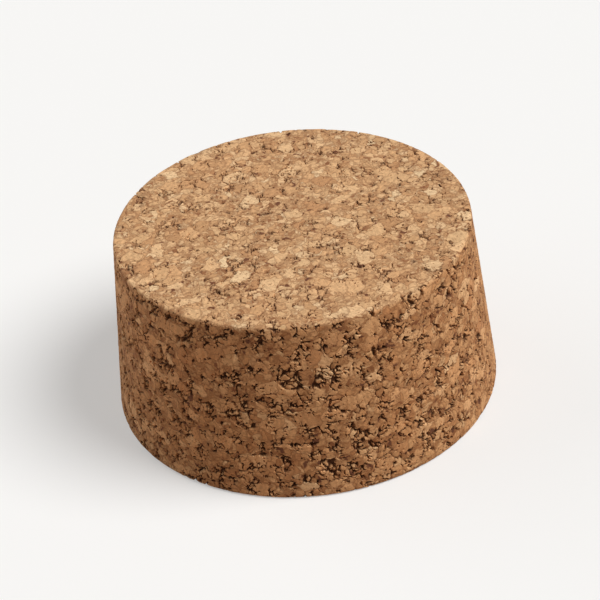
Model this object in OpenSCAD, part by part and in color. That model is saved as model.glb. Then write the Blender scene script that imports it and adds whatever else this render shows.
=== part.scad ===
// A short, wide stopper of agglomerated cork: granules pressed and bonded into a block, sawn to
// length and ground to a taper. It is one solid, and stands at the origin on its wide end.

/* [Stopper] */
// Diameter of the wide end, across its broken edge
wide_end_d = 50; // [36:0.5:80]
// Diameter of the narrow end, across its broken edge
narrow_end_d = 45.5; // [30:0.5:78]
// Height from face to face
stopper_h = 24.5; // [12:0.5:50]

/* [Edges] */
// Radius that breaks the edge of the wide end
wide_edge_r = 0.4; // [0.1:0.05:2]
// Radius that breaks the edge of the narrow end
narrow_edge_r = 0.4; // [0.1:0.05:2]

/* [Hidden] */

cork_colour = "#BD926A";
round_faces = 120; // faces round the axis
edge_flats = 6;    // flats in each broken edge

// Centres of the two edge radii in the half section, as [distance from the axis, height]
wide_edge_centre = [wide_end_d / 2 - wide_edge_r, wide_edge_r];
narrow_edge_centre = [narrow_end_d / 2 - narrow_edge_r, stopper_h - narrow_edge_r];

// The side is the straight line that touches both edge radii. side_angle is how far its
// outward direction tips up from level, and so the taper on one side.
edge_span = narrow_edge_centre - wide_edge_centre;
side_angle = atan2(edge_span.y, edge_span.x)
    - acos((wide_edge_r - narrow_edge_r) / norm(edge_span));

function arc(centre, r, from_angle, to_angle) = [
    for (i = [0 : edge_flats])
        let (angle = from_angle + (to_angle - from_angle) * i / edge_flats)
            centre + r * [cos(angle), sin(angle)]
];

// Half of the section through the axis: out along the wide end, up the side and back in
// along the narrow end
function half_section() = concat(
    [[0, 0]],
    arc(wide_edge_centre, wide_edge_r, -90, side_angle),
    arc(narrow_edge_centre, narrow_edge_r, side_angle, 90),
    [[0, stopper_h]]
);

module stopper() {
    color(cork_colour)
        rotate_extrude($fn = round_faces)
            polygon(half_section());
}

stopper();
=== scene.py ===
import math

import bpy
import numpy as np
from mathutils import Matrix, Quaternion, Vector


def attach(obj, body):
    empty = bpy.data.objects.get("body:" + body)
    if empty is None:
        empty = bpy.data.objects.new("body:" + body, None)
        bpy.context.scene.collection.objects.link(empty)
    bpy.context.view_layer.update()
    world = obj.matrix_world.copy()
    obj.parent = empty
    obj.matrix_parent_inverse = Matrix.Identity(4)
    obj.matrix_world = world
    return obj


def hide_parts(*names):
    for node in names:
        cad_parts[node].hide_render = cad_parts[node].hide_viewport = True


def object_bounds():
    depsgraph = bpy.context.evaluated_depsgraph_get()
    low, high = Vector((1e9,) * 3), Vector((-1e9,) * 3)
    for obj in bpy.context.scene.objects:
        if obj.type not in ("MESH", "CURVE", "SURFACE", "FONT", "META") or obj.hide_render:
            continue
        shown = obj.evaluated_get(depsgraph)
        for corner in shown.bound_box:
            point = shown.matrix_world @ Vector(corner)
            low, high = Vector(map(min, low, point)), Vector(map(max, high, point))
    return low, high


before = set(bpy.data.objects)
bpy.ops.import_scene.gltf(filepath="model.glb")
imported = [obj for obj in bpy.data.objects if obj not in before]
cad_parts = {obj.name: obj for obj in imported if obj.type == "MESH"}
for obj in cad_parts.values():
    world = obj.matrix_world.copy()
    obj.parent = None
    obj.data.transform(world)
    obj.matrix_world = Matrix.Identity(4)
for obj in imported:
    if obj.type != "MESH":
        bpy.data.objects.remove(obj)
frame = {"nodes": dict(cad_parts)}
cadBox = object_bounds()
mm = 0.001  # the frame is in metres
print("frame loaded:", ", ".join(frame["nodes"]))


def linearColour(hexValue):
    # sRGB hex to the linear values that the sockets take
    channels = [int(hexValue[i:i + 2], 16) / 255 for i in (1, 3, 5)]
    linear = [c / 12.92 if c <= 0.04045 else ((c + 0.055) / 1.055) ** 2.4 for c in channels]
    return linear + [1.0]


def addNode(tree, kind, inputs=None, **settings):
    # one node, with its settings, and each input linked if it is given a socket and set if not
    node = tree.nodes.new(kind)
    for name, value in settings.items():
        setattr(node, name, value)
    for name, value in (inputs or {}).items():
        if isinstance(value, bpy.types.NodeSocket):
            tree.links.new(value, node.inputs[name])
        else:
            node.inputs[name].default_value = value
    return node


def emptyTree(owner):
    # the node tree of a material or a world, without the nodes that it starts with
    owner.use_nodes = True
    owner.node_tree.nodes.clear()
    return owner.node_tree


# The stopper is agglomerated cork. Bark is ground to granules of up to 3 mm, coated with a little binder
# and pressed into a block, and the block is sawn to length and ground to a taper. The granules lie face
# to face, a void stays where several corners meet, and grinding tears more of them open than sawing does.
stopper = {
    "meshStep": 0.14 * mm,         # spacing of the mesh before it is thinned
    "triangles": 194000,           # what is kept, most of it where the relief is
    "sharpFrom": 50,               # degrees: the cut is clean, so edges that turn by more stay sharp

    "granules": [1.95 * mm, 1.02 * mm, 0.56 * mm],  # spacing of large, middling and small granules
    "finerShare": [0.72, 0.33],    # share of the places of one size that the next size fills instead
    "flattened": 0.82,             # height of a granule over its width, from the press
    "bends": [(1.5 * mm, 0.8 * mm), (0.42 * mm, 0.22 * mm)],  # length and reach of bends in the seams

    "seamWidth": 0.13 * mm,        # binder reaches this far to each side of the middle of a seam
    "darkestSeam": 0.01 * mm,      # and is at its darkest this near the middle
    "seamDepth": 0.02 * mm,
    "steps": 0.03 * mm,            # how far one granule may lie below the next
    "sideVoids": 0.41 * mm,        # reach of the widest void from its middle, on the ground side
    "endVoids": 0.25 * mm,         # and on the sawn ends
    "smallVoids": 0.62,            # share of that reach where the finer edges cross
    "drawnOut": (1.25, 0.5),       # share of that reach along a seam and across it, so that voids chain
    "voidDepth": 0.5 * mm,
    "voidWall": 0.14 * mm,         # from the brink of a void to its floor
    "looseArea": 1.5 * mm,         # across the areas where voids are wider or narrower
    "looseness": (0.38, 0.68),     # noise levels at which they are shut and at their widest
    "lostCrumbs": 0.035,           # share of small granules that were torn out

    "tones": [(0.0, "#95613A"), (0.09, "#C38F61"), (0.3, "#DFAE7C"), (0.65, "#EDBF8C"),
              (0.93, "#F7CC9A"), (1.0, "#FFDBAB")],
    "largeFrom": 0.16,             # only small granules have the tones below this
    "palest": 0.93,                # most light that any spot sends back
    "redder": (1.03, 0.97, 0.92),  # granules lie between these two tints
    "yellower": (1.0, 1.03, 1.05),
    "areas": 7 * mm,               # across the redder and yellower areas of the block
    "areaShare": 0.35,             # how much of its tint a granule has from its area
    # tints of large and small granules: the side browner, small ones most, partly as painted warm shade
    "sideTintsAndShade": ((1.01, 0.925, 0.84), (0.8, 0.68, 0.55)),
    "sawnTints": ((1.0, 0.99, 0.975), (0.95, 0.93, 0.905)),
    "ringSpacing": 0.55 * mm,      # growth rings of the bark, at each granule's own slant
    "ringWaver": (0.9 * mm, 9.0),  # length of the bends in the rings, and their reach in radians
    "ringShades": (0.93, 1.06),
    "mottle": [(0.5 * mm, 0.87, 1.12), (0.14 * mm, 0.88, 1.12)],  # size, and darkest and palest shade

    # colour of what is darker than the granules, and how much of the granule's own it hides
    "pore": ("#8A5430", 0.8),
    "bark": ("#663B23", 1.0),
    "binder": ("#8A5834", 0.55),
    # painted shade inside the voids, on top of the real shade of their sunk floors
    "paintedVoidShade": ("#4A230C", 0.9),
    "poreSize": 0.34 * mm,         # powdery pores of the bark
    "poresFrom": (0.62, 0.69),     # noise levels at which a pore begins and is full
    "barkShare": 0.055,            # share of small granules that are hard outer bark
    "voidShade": (-0.03 * mm, 0.1 * mm),  # way inside a void at which its painted shade begins and is full

    "roughness": (0.8, 0.95),      # matt, and each granule has its own
    "ior": 1.45,
    "grain": 0.2 * mm,             # cells of cork are 0.04 mm across, too fine to show: five times that
    "grainDepth": 0.06 * mm,
    "grainStrength": 0.7,
}


def outlineOf(node):
    # points of a round node's outline, from the rim of its lower face to the rim of its upper face
    points = np.array([v.co for v in node.data.vertices])
    radius = np.hypot(points[:, 0], points[:, 1])
    levels = points[:, 2].round(7)  # to 0.0001 mm, so that a ring of points has one level
    return np.array([(radius[levels == z].max(), z) for z in np.unique(levels)])


def discGrid(cells):
    # a square grid bent into a disc of radius 1, with cells all much the same size
    a, b = np.meshgrid(*[np.linspace(-1, 1, cells + 1)] * 2, indexing="ij")
    wide = abs(a) > abs(b)
    radius = np.where(wide, a, b)
    divisor = np.where(radius == 0, 1, radius)
    turn = np.where(wide, b / divisor, 2 - a / divisor) * math.pi / 4
    return np.stack([radius * np.cos(turn), radius * np.sin(turn)], -1)


def turnedBlock(outline, step):
    # A closed mesh of even quads: rings up the side, and a bent grid on each end. It gives for each point
    # its place, its run, which is the way to it over the surface from the middle of the lower end, and its
    # tilt, which is 0 on the side and 1 on the ends.
    corners = np.concatenate(([0], np.cumsum(np.hypot(*np.diff(outline, axis=0).T))))
    run = np.linspace(0, corners[-1], round(corners[-1] / step) + 1)
    radius, height = (np.interp(run, corners, outline[:, i]) for i in (0, 1))
    slope = abs(np.gradient(radius, run))
    taper = slope[len(slope) // 2]
    tilt = np.clip((slope - taper) / (1 - taper), 0, 1)

    cells = round(math.tau * radius.max() / step / 4)
    columns = 4 * cells
    turn = math.tau * (np.arange(columns) / columns - 1 / 8)  # starts at the corner of the bent grid
    rings = np.arange(len(run) * columns).reshape(len(run), columns)
    level = np.repeat(height[:, None], columns, 1)
    places = [np.stack([np.outer(radius, np.cos(turn)), np.outer(radius, np.sin(turn)), level], -1)
              .reshape(-1, 3)]
    runs = [np.repeat(radius[0] + run, columns)]
    tilts = [np.repeat(tilt, columns)]
    ahead = np.roll(rings, -1, axis=1)
    quads = [np.stack([rings[:-1], ahead[:-1], ahead[1:], rings[1:]], -1).reshape(-1, 4)]

    grid = discGrid(cells)[1:-1, 1:-1].reshape(-1, 2)
    rising, falling = np.arange(cells), np.arange(cells, 0, -1)
    border = (np.concatenate([np.full(cells, cells), falling, np.zeros(cells, int), rising]),
              np.concatenate([rising, np.full(cells, cells), falling, np.zeros(cells, int)]))
    for ring, facing in ((0, -1), (len(run) - 1, 1)):
        first = sum(len(part) for part in places)
        index = np.zeros((cells + 1, cells + 1), int)
        index[1:-1, 1:-1] = first + np.arange(len(grid)).reshape(cells - 1, cells - 1)
        index[border] = rings[ring]
        flat = grid * radius[ring]
        places.append(np.column_stack([flat, np.full(len(flat), height[ring])]))
        inward = np.hypot(*flat.T) if facing < 0 else radius[-1] - np.hypot(*flat.T)
        runs.append(inward if facing < 0 else radius[0] + run[-1] + inward)
        tilts.append(np.ones(len(flat)))
        cell = [index[:-1, :-1], index[1:, :-1], index[1:, 1:], index[:-1, 1:]]
        quads.append(np.stack(cell[::facing], -1).reshape(-1, 4))
    return [np.concatenate(part) for part in (places, quads, runs, tilts)]


def bentPlace(tree, place, s):
    # bends the seams, and flattens the granules
    bent = place
    for length, reach in s["bends"]:
        noise = addNode(tree, "ShaderNodeTexNoise", {"Vector": place, "Scale": 1 / length, "Detail": 1.0})
        bent = addNode(tree, "ShaderNodeVectorMath",
                       {0: noise.outputs["Color"], 1: [2 * reach] * 3, 2: bent},
                       operation="MULTIPLY_ADD").outputs[0]
    return addNode(tree, "ShaderNodeVectorMath", {0: bent, 1: (1, 1, 1 / s["flattened"])},
                   operation="MULTIPLY").outputs[0]


def mixedGranules(tree, bent, s):
    # each size of granule has cells of its own, and in some of them the next size takes over
    edges = []
    for order, size in enumerate(s["granules"]):
        cell = addNode(tree, "ShaderNodeTexVoronoi", {"Vector": bent, "Scale": 1 / size}, feature="F1")
        edge = addNode(tree, "ShaderNodeTexVoronoi", {"Vector": bent, "Scale": 1 / size},
                       feature="DISTANCE_TO_EDGE")
        edges.append(addNode(tree, "ShaderNodeMath", {0: edge.outputs["Distance"], 1: size},
                             operation="MULTIPLY").outputs[0])
        if order == 0:
            chance, seam, small, fineness = cell.outputs["Color"], edges[0], 1.0, 0.0
            continue
        first = addNode(tree, "ShaderNodeSeparateXYZ", {0: chance}).outputs[0]
        finer = addNode(tree, "ShaderNodeMath", {0: first, 1: s["finerShare"][order - 1]},
                        operation="LESS_THAN").outputs[0]
        small = addNode(tree, "ShaderNodeMath", {0: finer, 1: small}, operation="MULTIPLY").outputs[0]
        fineness = addNode(tree, "ShaderNodeMath", {0: small, 1: 0.5, 2: fineness},
                           operation="MULTIPLY_ADD").outputs[0]
        nearer = addNode(tree, "ShaderNodeMath", {0: seam, 1: edges[-1]}, operation="MINIMUM").outputs[0]
        seam = addNode(tree, "ShaderNodeMix", {0: small, 2: seam, 3: nearer}).outputs[0]
        chance = addNode(tree, "ShaderNodeMix", {0: small, 4: chance, 5: cell.outputs["Color"]},
                         data_type="VECTOR").outputs[1]
    return edges, chance, small, fineness, seam


def openVoids(tree, place, tilt, edges, crumb, s):
    # voids open where the edges of two sizes cross, and the finer crossings have the smaller ones
    shut, widest = s["looseness"]
    loose = addNode(tree, "ShaderNodeTexNoise",
                    {"Vector": place, "Scale": 1 / s["looseArea"], "Detail": 1.0}).outputs[0]
    loose = addNode(tree, "ShaderNodeMapRange", {0: loose, 1: shut, 2: widest}).outputs[0]
    reach = addNode(tree, "ShaderNodeMix", {0: tilt, 2: s["sideVoids"], 3: s["endVoids"]}).outputs[0]
    reach = addNode(tree, "ShaderNodeMath", {0: reach, 1: loose}, operation="MULTIPLY").outputs[0]
    gape = crumb
    along, across = s["drawnOut"]
    for coarse, fine, share in ((edges[0], edges[1], 1.0), (edges[1], edges[2], s["smallVoids"])):
        away = addNode(tree, "ShaderNodeMath", {0: coarse, 1: 1 / across}, operation="MULTIPLY").outputs[0]
        away = addNode(tree, "ShaderNodeMath", {0: fine, 1: 1 / along, 2: away},
                       operation="MULTIPLY_ADD").outputs[0]
        inside = addNode(tree, "ShaderNodeMath", {0: reach, 1: share}, operation="MULTIPLY").outputs[0]
        inside = addNode(tree, "ShaderNodeMath", {0: inside, 1: away}, operation="SUBTRACT").outputs[0]
        gape = addNode(tree, "ShaderNodeMath", {0: gape, 1: inside}, operation="MAXIMUM").outputs[0]
    return gape


def granuleField(tree, place, tilt, s):
    # The same nodes shape the mesh and paint it. chance is three even random numbers for each granule,
    # fineness is 0, 0.5 or 1 by its size, seam is the way from a point to the edge of its granule, and gape
    # is how far inside a void the point lies.
    bent = bentPlace(tree, place, s)
    edges, chance, small, fineness, seam = mixedGranules(tree, bent, s)
    # where a crumb is torn out, the way inside is the way from the crumb's own edge
    third = addNode(tree, "ShaderNodeSeparateXYZ", {0: chance}).outputs[2]
    lost = addNode(tree, "ShaderNodeMath", {0: third, 1: s["lostCrumbs"]}, operation="LESS_THAN").outputs[0]
    lost = addNode(tree, "ShaderNodeMath", {0: lost, 1: small}, operation="MULTIPLY").outputs[0]
    crumb = addNode(tree, "ShaderNodeMath", {0: lost, 1: seam}, operation="MULTIPLY").outputs[0]
    gape = openVoids(tree, place, tilt, edges, crumb, s)
    return chance, fineness, seam, gape


def granuleRelief(s):
    # sinks the voids and seams into the block, and sets each granule at its own level
    tree = bpy.data.node_groups.new("granuleRelief", "GeometryNodeTree")
    for way in ("INPUT", "OUTPUT"):
        tree.interface.new_socket("Geometry", in_out=way, socket_type="NodeSocketGeometry")
    block = addNode(tree, "NodeGroupInput").outputs[0]
    place = addNode(tree, "GeometryNodeInputPosition").outputs[0]
    tilt = addNode(tree, "GeometryNodeInputNamedAttribute", {0: "tilt"}, data_type="FLOAT").outputs[0]
    chance, _, seam, gape = granuleField(tree, place, tilt, s)
    level = addNode(tree, "ShaderNodeSeparateXYZ", {0: chance}).outputs[2]
    depth = addNode(tree, "ShaderNodeMath", {0: level, 1: s["steps"]}, operation="MULTIPLY").outputs[0]
    for distance, end, fromDepth, toDepth in ((seam, s["seamWidth"], s["seamDepth"], 0),
                                              (gape, s["voidWall"], 0, s["voidDepth"])):
        sunk = addNode(tree, "ShaderNodeMapRange", {0: distance, 1: 0, 2: end, 3: fromDepth, 4: toDepth},
                       interpolation_type="SMOOTHSTEP").outputs[0]
        depth = addNode(tree, "ShaderNodeMath", {0: depth, 1: sunk}, operation="ADD").outputs[0]
    inward = addNode(tree, "ShaderNodeMath", {0: depth, 1: -1.0}, operation="MULTIPLY").outputs[0]
    normal = addNode(tree, "GeometryNodeInputNormal").outputs[0]
    offset = addNode(tree, "ShaderNodeVectorMath", {0: normal, "Scale": inward},
                     operation="SCALE").outputs[0]
    shaped = addNode(tree, "GeometryNodeSetPosition", {"Geometry": block, "Offset": offset}).outputs[0]
    addNode(tree, "NodeGroupOutput", {0: shaped})
    return tree


def granuleColour(tree, place, tilt, chance, fineness, s):
    # the tone and tint of each granule as a whole
    _, second, third = addNode(tree, "ShaderNodeSeparateXYZ", {0: chance}).outputs
    lowest = addNode(tree, "ShaderNodeMapRange", {0: fineness, 1: 0.5, 3: s["largeFrom"], 4: 0}).outputs[0]
    at = addNode(tree, "ShaderNodeMapRange", {0: second, 3: lowest}).outputs[0]
    ramp = addNode(tree, "ShaderNodeValToRGB", {0: at})
    stops = ramp.color_ramp.elements
    while len(stops) < len(s["tones"]):
        stops.new(1.0)
    for stop, (position, tone) in zip(stops, s["tones"]):
        stop.position = position
        stop.color = linearColour(tone)
    area = addNode(tree, "ShaderNodeTexNoise",
                   {"Vector": place, "Scale": 1 / s["areas"], "Detail": 1.0}).outputs[0]
    # noise this smooth keeps mostly to between 0.35 and 0.65
    area = addNode(tree, "ShaderNodeMapRange", {0: area, 1: 0.35, 2: 0.65}).outputs[0]
    hue = addNode(tree, "ShaderNodeMix", {0: s["areaShare"], 2: third, 3: area}).outputs[0]
    tint = addNode(tree, "ShaderNodeMix", {0: hue, 4: s["redder"], 5: s["yellower"]},
                   data_type="VECTOR").outputs[1]
    # on the side the browner tint is partly painted warm shade, darkest on small granules
    sideTintWithShade, onEnds = [addNode(tree, "ShaderNodeMix", {0: fineness, 4: s[cut][0], 5: s[cut][1]},
                              data_type="VECTOR").outputs[1] for cut in ("sideTintsAndShade", "sawnTints")]
    endTintAndSideShade = addNode(tree, "ShaderNodeMix", {0: tilt, 4: sideTintWithShade, 5: onEnds}, data_type="VECTOR").outputs[1]
    colour = ramp.outputs[0]
    for share in (tint, endTintAndSideShade):
        colour = addNode(tree, "ShaderNodeVectorMath", {0: colour, 1: share},
                         operation="MULTIPLY").outputs[0]
    return colour


def withFigure(tree, colour, own, chance, s):
    # growth rings at the granule's own slant, and mottle
    slant = addNode(tree, "ShaderNodeVectorMath", {0: chance, 1: [0.5] * 3},
                    operation="SUBTRACT").outputs[0]
    slant = addNode(tree, "ShaderNodeVectorMath", {0: slant}, operation="NORMALIZE").outputs[0]
    along = addNode(tree, "ShaderNodeVectorMath", {0: own, 1: slant},
                    operation="DOT_PRODUCT").outputs["Value"]
    length, reach = s["ringWaver"]
    waver = addNode(tree, "ShaderNodeTexNoise", {"Vector": own, "Scale": 1 / length}).outputs[0]
    waver = addNode(tree, "ShaderNodeMath", {0: waver, 1: reach}, operation="MULTIPLY").outputs[0]
    turns = addNode(tree, "ShaderNodeMath", {0: along, 1: math.tau / s["ringSpacing"], 2: waver},
                    operation="MULTIPLY_ADD").outputs[0]
    rings = addNode(tree, "ShaderNodeMath", {0: turns}, operation="SINE").outputs[0]
    patterns = [(rings, -1, 1, *s["ringShades"])]
    for size, dark, pale in s["mottle"]:
        noise = addNode(tree, "ShaderNodeTexNoise", {"Vector": own, "Scale": 1 / size}).outputs[0]
        patterns.append((noise, 0.3, 0.7, dark, pale))  # noise keeps mostly to these levels
    for pattern, low, high, dark, pale in patterns:
        shade = addNode(tree, "ShaderNodeMapRange",
                        {0: pattern, 1: low, 2: high, 3: dark, 4: pale}).outputs[0]
        colour = addNode(tree, "ShaderNodeVectorMath", {0: colour, "Scale": shade},
                         operation="SCALE").outputs[0]
    return colour


def withDarkParts(tree, colour, own, chance, seam, gape, s):
    # pores, crumbs of bark, binder, and the painted shade inside voids
    first = addNode(tree, "ShaderNodeSeparateXYZ", {0: chance}).outputs[0]
    pores = addNode(tree, "ShaderNodeTexNoise", {"Vector": own, "Scale": 1 / s["poreSize"]}).outputs[0]
    bark = addNode(tree, "ShaderNodeMath", {0: first, 1: s["barkShare"]}, operation="LESS_THAN").outputs[0]
    for cause, start, end, part in ((pores, *s["poresFrom"], "pore"), (bark, 0, 1, "bark"),
                                    (seam, s["seamWidth"], s["darkestSeam"], "binder"),
                                    (gape, *s["voidShade"], "paintedVoidShade")):
        shade, cover = s[part]
        share = addNode(tree, "ShaderNodeMapRange", {0: cause, 1: start, 2: end, 4: cover}).outputs[0]
        colour = addNode(tree, "ShaderNodeMix", {0: share, 6: colour, 7: linearColour(shade)},
                         data_type="RGBA").outputs[2]
    return colour


def agglomeratedCork(s):
    # Cork ground, bound and pressed. It is matt and warm, and busy close up: each granule is cut at a slant
    # of its own and so has its own tone, rings and roughness, with dark binder and open voids between them.
    material = bpy.data.materials.new("agglomeratedCork")
    tree = emptyTree(material)
    place = addNode(tree, "ShaderNodeAttribute", attribute_name="restPlace").outputs["Vector"]
    tilt = addNode(tree, "ShaderNodeAttribute", attribute_name="tilt").outputs["Fac"]
    chance, fineness, seam, gape = granuleField(tree, place, tilt, s)
    # each granule takes its rings and mottle from a place of its own, so they break off at the seam
    spread = 50 * mm
    own = addNode(tree, "ShaderNodeVectorMath", {0: chance, 1: [spread] * 3, 2: place},
                  operation="MULTIPLY_ADD").outputs[0]

    colour = granuleColour(tree, place, tilt, chance, fineness, s)
    colour = withFigure(tree, colour, own, chance, s)
    colour = withDarkParts(tree, colour, own, chance, seam, gape, s)
    colour = addNode(tree, "ShaderNodeVectorMath", {0: colour, 1: [s["palest"]] * 3},
                     operation="MINIMUM").outputs[0]

    smooth, rough = s["roughness"]
    third = addNode(tree, "ShaderNodeSeparateXYZ", {0: chance}).outputs[2]
    roughness = addNode(tree, "ShaderNodeMapRange", {0: third, 3: smooth, 4: rough}).outputs[0]
    grain = addNode(tree, "ShaderNodeTexNoise", {"Vector": place, "Scale": 1 / s["grain"]}).outputs[0]
    bump = addNode(tree, "ShaderNodeBump", {"Height": grain, "Distance": s["grainDepth"],
                                            "Strength": s["grainStrength"]}).outputs[0]
    shader = addNode(tree, "ShaderNodeBsdfPrincipled", {"Base Color": colour, "Roughness": roughness,
                                                        "IOR": s["ior"], "Normal": bump}).outputs[0]
    addNode(tree, "ShaderNodeOutputMaterial", {"Surface": shader})
    return material


def layOutMap(mesh, outline):
    # The map that the colours are baked on has the two ends side by side, and above them the side in two
    # halves. Each triangle goes whole to one chart, so no chart overlaps another.
    corners = np.empty(len(mesh.loops), int)
    mesh.loops.foreach_get("vertex_index", corners)
    corners = corners.reshape(-1, 3)
    place = np.empty(3 * len(mesh.vertices), np.float32)
    mesh.attributes["restPlace"].data.foreach_get("vector", place)
    place = place.reshape(-1, 3)[corners]
    run = np.empty(len(mesh.vertices), np.float32)
    mesh.attributes["run"].data.foreach_get("value", run)
    run = run[corners]
    turn = np.arctan2(place[..., 1], place[..., 0])
    turn = turn[:, :1] + (turn - turn[:, :1] + math.pi) % math.tau - math.pi

    gap = 0.8 * mm
    lip = 0.3 * mm  # half of a broken edge goes with each end
    lowRadius, highRadius = outline[0, 0], outline[-1, 0]
    flank = np.hypot(*np.diff(outline, axis=0).T).sum()
    whole = lowRadius + flank + highRadius
    lowReach, highReach = lowRadius + lip, highRadius + lip
    square = 2 * lowReach + 2 * flank + 4 * gap
    uv = np.empty((len(corners), 3, 2))

    half = turn.mean(1) // math.pi
    uv[..., 0] = gap + lip + (turn - half[:, None] * math.pi) * outline[:, 0].mean()
    uv[..., 1] = 2 * gap + 2 * lowReach + run - lowRadius + (half[:, None] % 2) * (flank + gap)
    onLow = run.mean(1) < lowReach
    onHigh = run.mean(1) > whole - highReach
    for chosen, radius, middle, way in ((onLow, run, gap + lowReach, -1),
                                        (onHigh, whole - run, 2 * gap + 2 * lowReach + highReach, 1)):
        uv[chosen, :, 0] = (middle + way * radius * np.cos(turn))[chosen]
        uv[chosen, :, 1] = (gap + lowReach + radius * np.sin(turn))[chosen]
    layer = mesh.uv_layers.new(name="OFBake")
    layer.data.foreach_set("uv", (uv / square).astype(np.float32).ravel())


def buildStopper(s):
    outline = outlineOf(frame["nodes"]["stopper"])
    places, quads, runs, tilts = turnedBlock(outline, s["meshStep"])
    mesh = bpy.data.meshes.new("corkStopper")
    mesh.from_pydata(places, [], quads)
    mesh.shade_smooth()
    for name, kind, key, values in (("restPlace", "FLOAT_VECTOR", "vector", places),
                                    ("run", "FLOAT", "value", runs),
                                    ("tilt", "FLOAT", "value", tilts)):
        layer = mesh.attributes.new(name, kind, "POINT")
        layer.data.foreach_set(key, values.astype(np.float32).ravel())
    piece = bpy.data.objects.new("corkStopper", mesh)
    bpy.context.scene.collection.objects.link(piece)
    relief = piece.modifiers.new("relief", "NODES")
    relief.node_group = granuleRelief(s)
    thinned = piece.modifiers.new("thinned", "DECIMATE")
    thinned.ratio = s["triangles"] / (2 * len(quads))
    thinned.use_collapse_triangulate = True

    depsgraph = bpy.context.evaluated_depsgraph_get()
    shaped = bpy.data.meshes.new_from_object(piece.evaluated_get(depsgraph),
                                             preserve_all_data_layers=True, depsgraph=depsgraph)
    piece.modifiers.clear()
    piece.data = shaped
    print("stopper shaped:", len(shaped.polygons), "triangles kept of", 2 * len(quads))

    # thinning can leave a point a hair outside the block
    points = np.empty(3 * len(shaped.vertices), np.float32)
    shaped.vertices.foreach_get("co", points)
    points = np.clip(points.reshape(-1, 3), *cadBox)
    shaped.vertices.foreach_set("co", points.ravel())
    shaped.set_sharp_from_angle(angle=math.radians(s["sharpFrom"]))
    layOutMap(shaped, outline)
    shaped.materials.clear()
    shaped.materials.append(agglomeratedCork(s))
    shaped.update()
    print("stopper finished in", shaped.materials[0].name)
    return piece


corkStopper = buildStopper(stopper)
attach(corkStopper, "root")
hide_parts("stopper")

# Studio: a pale floor that goes on into an equally pale wall, a broad lamp high on the right, a weaker and
# broader one low on the left, and a weak fill from all round. Together they light a level surface at a
# strength of 1.
studio = {
    "floorSize": 6.0,
    "background": "#F7F6F4",       # floor and wall as they are seen
    "floorBounce": "#AD8C74",      # colour of the light that comes back up from the floor
    "shadowLift": 0.4,             # share of the shadow on the floor that is taken off as it is seen
    "lamps": {                     # where from, strength, and degrees across for a soft shadow
        "broadLamp": ((0.42, -0.11, 0.59), 2.98, 34),
        "lowLamp": ((-0.63, 0.23, 0.27), 0.9, 70),
    },
    "fill": 0.13,
    "distance": 0.2725,            # from the camera to the middle of the stopper
    "elevation": 35.4,             # degrees
    "roll": 6.2,                   # the stopper leans to the left
    "lens": 126,
}


def lookedAt(tree):
    # 1 for what the camera, a reflection or clear glass shows, and 0 for what lights things
    path = addNode(tree, "ShaderNodeLightPath").outputs
    looked = path["Is Camera Ray"]
    for ray in ("Is Glossy Ray", "Is Transmission Ray"):
        looked = addNode(tree, "ShaderNodeMath", {0: looked, 1: path[ray]}, operation="MAXIMUM").outputs[0]
    return looked


def layFloor(s):
    # dead flat white paint, with no sheen, so the floor is equally pale from every side
    background = linearColour(s["background"])
    paint = bpy.data.materials.new("mattPaint")
    paint.cycles.emission_sampling = "NONE"  # its glow is only seen, and is no lamp
    tree = emptyTree(paint)
    looked = lookedAt(tree)
    colour = addNode(tree, "ShaderNodeMix", {0: looked, 6: linearColour(s["floorBounce"]), 7: background},
                     data_type="RGBA").outputs[2]
    matt = addNode(tree, "ShaderNodeBsdfDiffuse", {"Color": colour}).outputs[0]
    glow = addNode(tree, "ShaderNodeEmission", {"Color": background, "Strength": 1.0}).outputs[0]
    share = addNode(tree, "ShaderNodeMath", {0: looked, 1: s["shadowLift"]},
                    operation="MULTIPLY").outputs[0]
    shader = addNode(tree, "ShaderNodeMixShader", {0: share, 1: matt, 2: glow}).outputs[0]
    addNode(tree, "ShaderNodeOutputMaterial", {"Surface": shader})

    half = s["floorSize"] / 2
    floorMesh = bpy.data.meshes.new("floor")
    floorMesh.from_pydata([(-half, -half, 0), (half, -half, 0), (half, half, 0), (-half, half, 0)], [],
                          [(0, 1, 2, 3)])
    floorMesh.materials.append(paint)
    floor = bpy.data.objects.new("floor", floorMesh)
    bpy.context.scene.collection.objects.link(floor)


def lightStudio(target, s):
    # the world shows the background, and lights with the fill
    world = bpy.data.worlds.new("studio")
    bpy.context.scene.world = world
    tree = emptyTree(world)
    fill = [s["fill"]] * 3 + [1.0]
    colour = addNode(tree, "ShaderNodeMix", {0: lookedAt(tree), 6: fill, 7: linearColour(s["background"])},
                     data_type="RGBA").outputs[2]
    sky = addNode(tree, "ShaderNodeBackground", {"Color": colour, "Strength": 1.0}).outputs[0]
    addNode(tree, "ShaderNodeOutputWorld", {"Surface": sky})
    for name, (place, strength, spread) in s["lamps"].items():
        light = bpy.data.lights.new(name, "SUN")
        light.energy = strength
        light.angle = math.radians(spread)
        lamp = bpy.data.objects.new(name, light)
        lamp.location = target + Vector(place)
        lamp.rotation_euler = Vector(place).to_track_quat("Z", "Y").to_euler()
        bpy.context.scene.collection.objects.link(lamp)


def aimCamera(target, s):
    camera = bpy.data.objects.new("camera", bpy.data.cameras.new("camera"))
    lift = math.radians(s["elevation"])
    camera.location = target + s["distance"] * Vector((0, -math.cos(lift), math.sin(lift)))
    upright = (target - camera.location).to_track_quat("-Z", "Y")
    camera.rotation_mode = "QUATERNION"
    camera.rotation_quaternion = upright @ Quaternion((0, 0, 1), -math.radians(s["roll"]))
    camera.data.lens = s["lens"]
    bpy.context.scene.collection.objects.link(camera)
    bpy.context.scene.camera = camera


layFloor(studio)
middle = (Vector(cadBox[0]) + Vector(cadBox[1])) / 2
lightStudio(middle, studio)
aimCamera(middle, studio)
bpy.context.scene.view_settings.view_transform = "Standard"
print("studio ready")
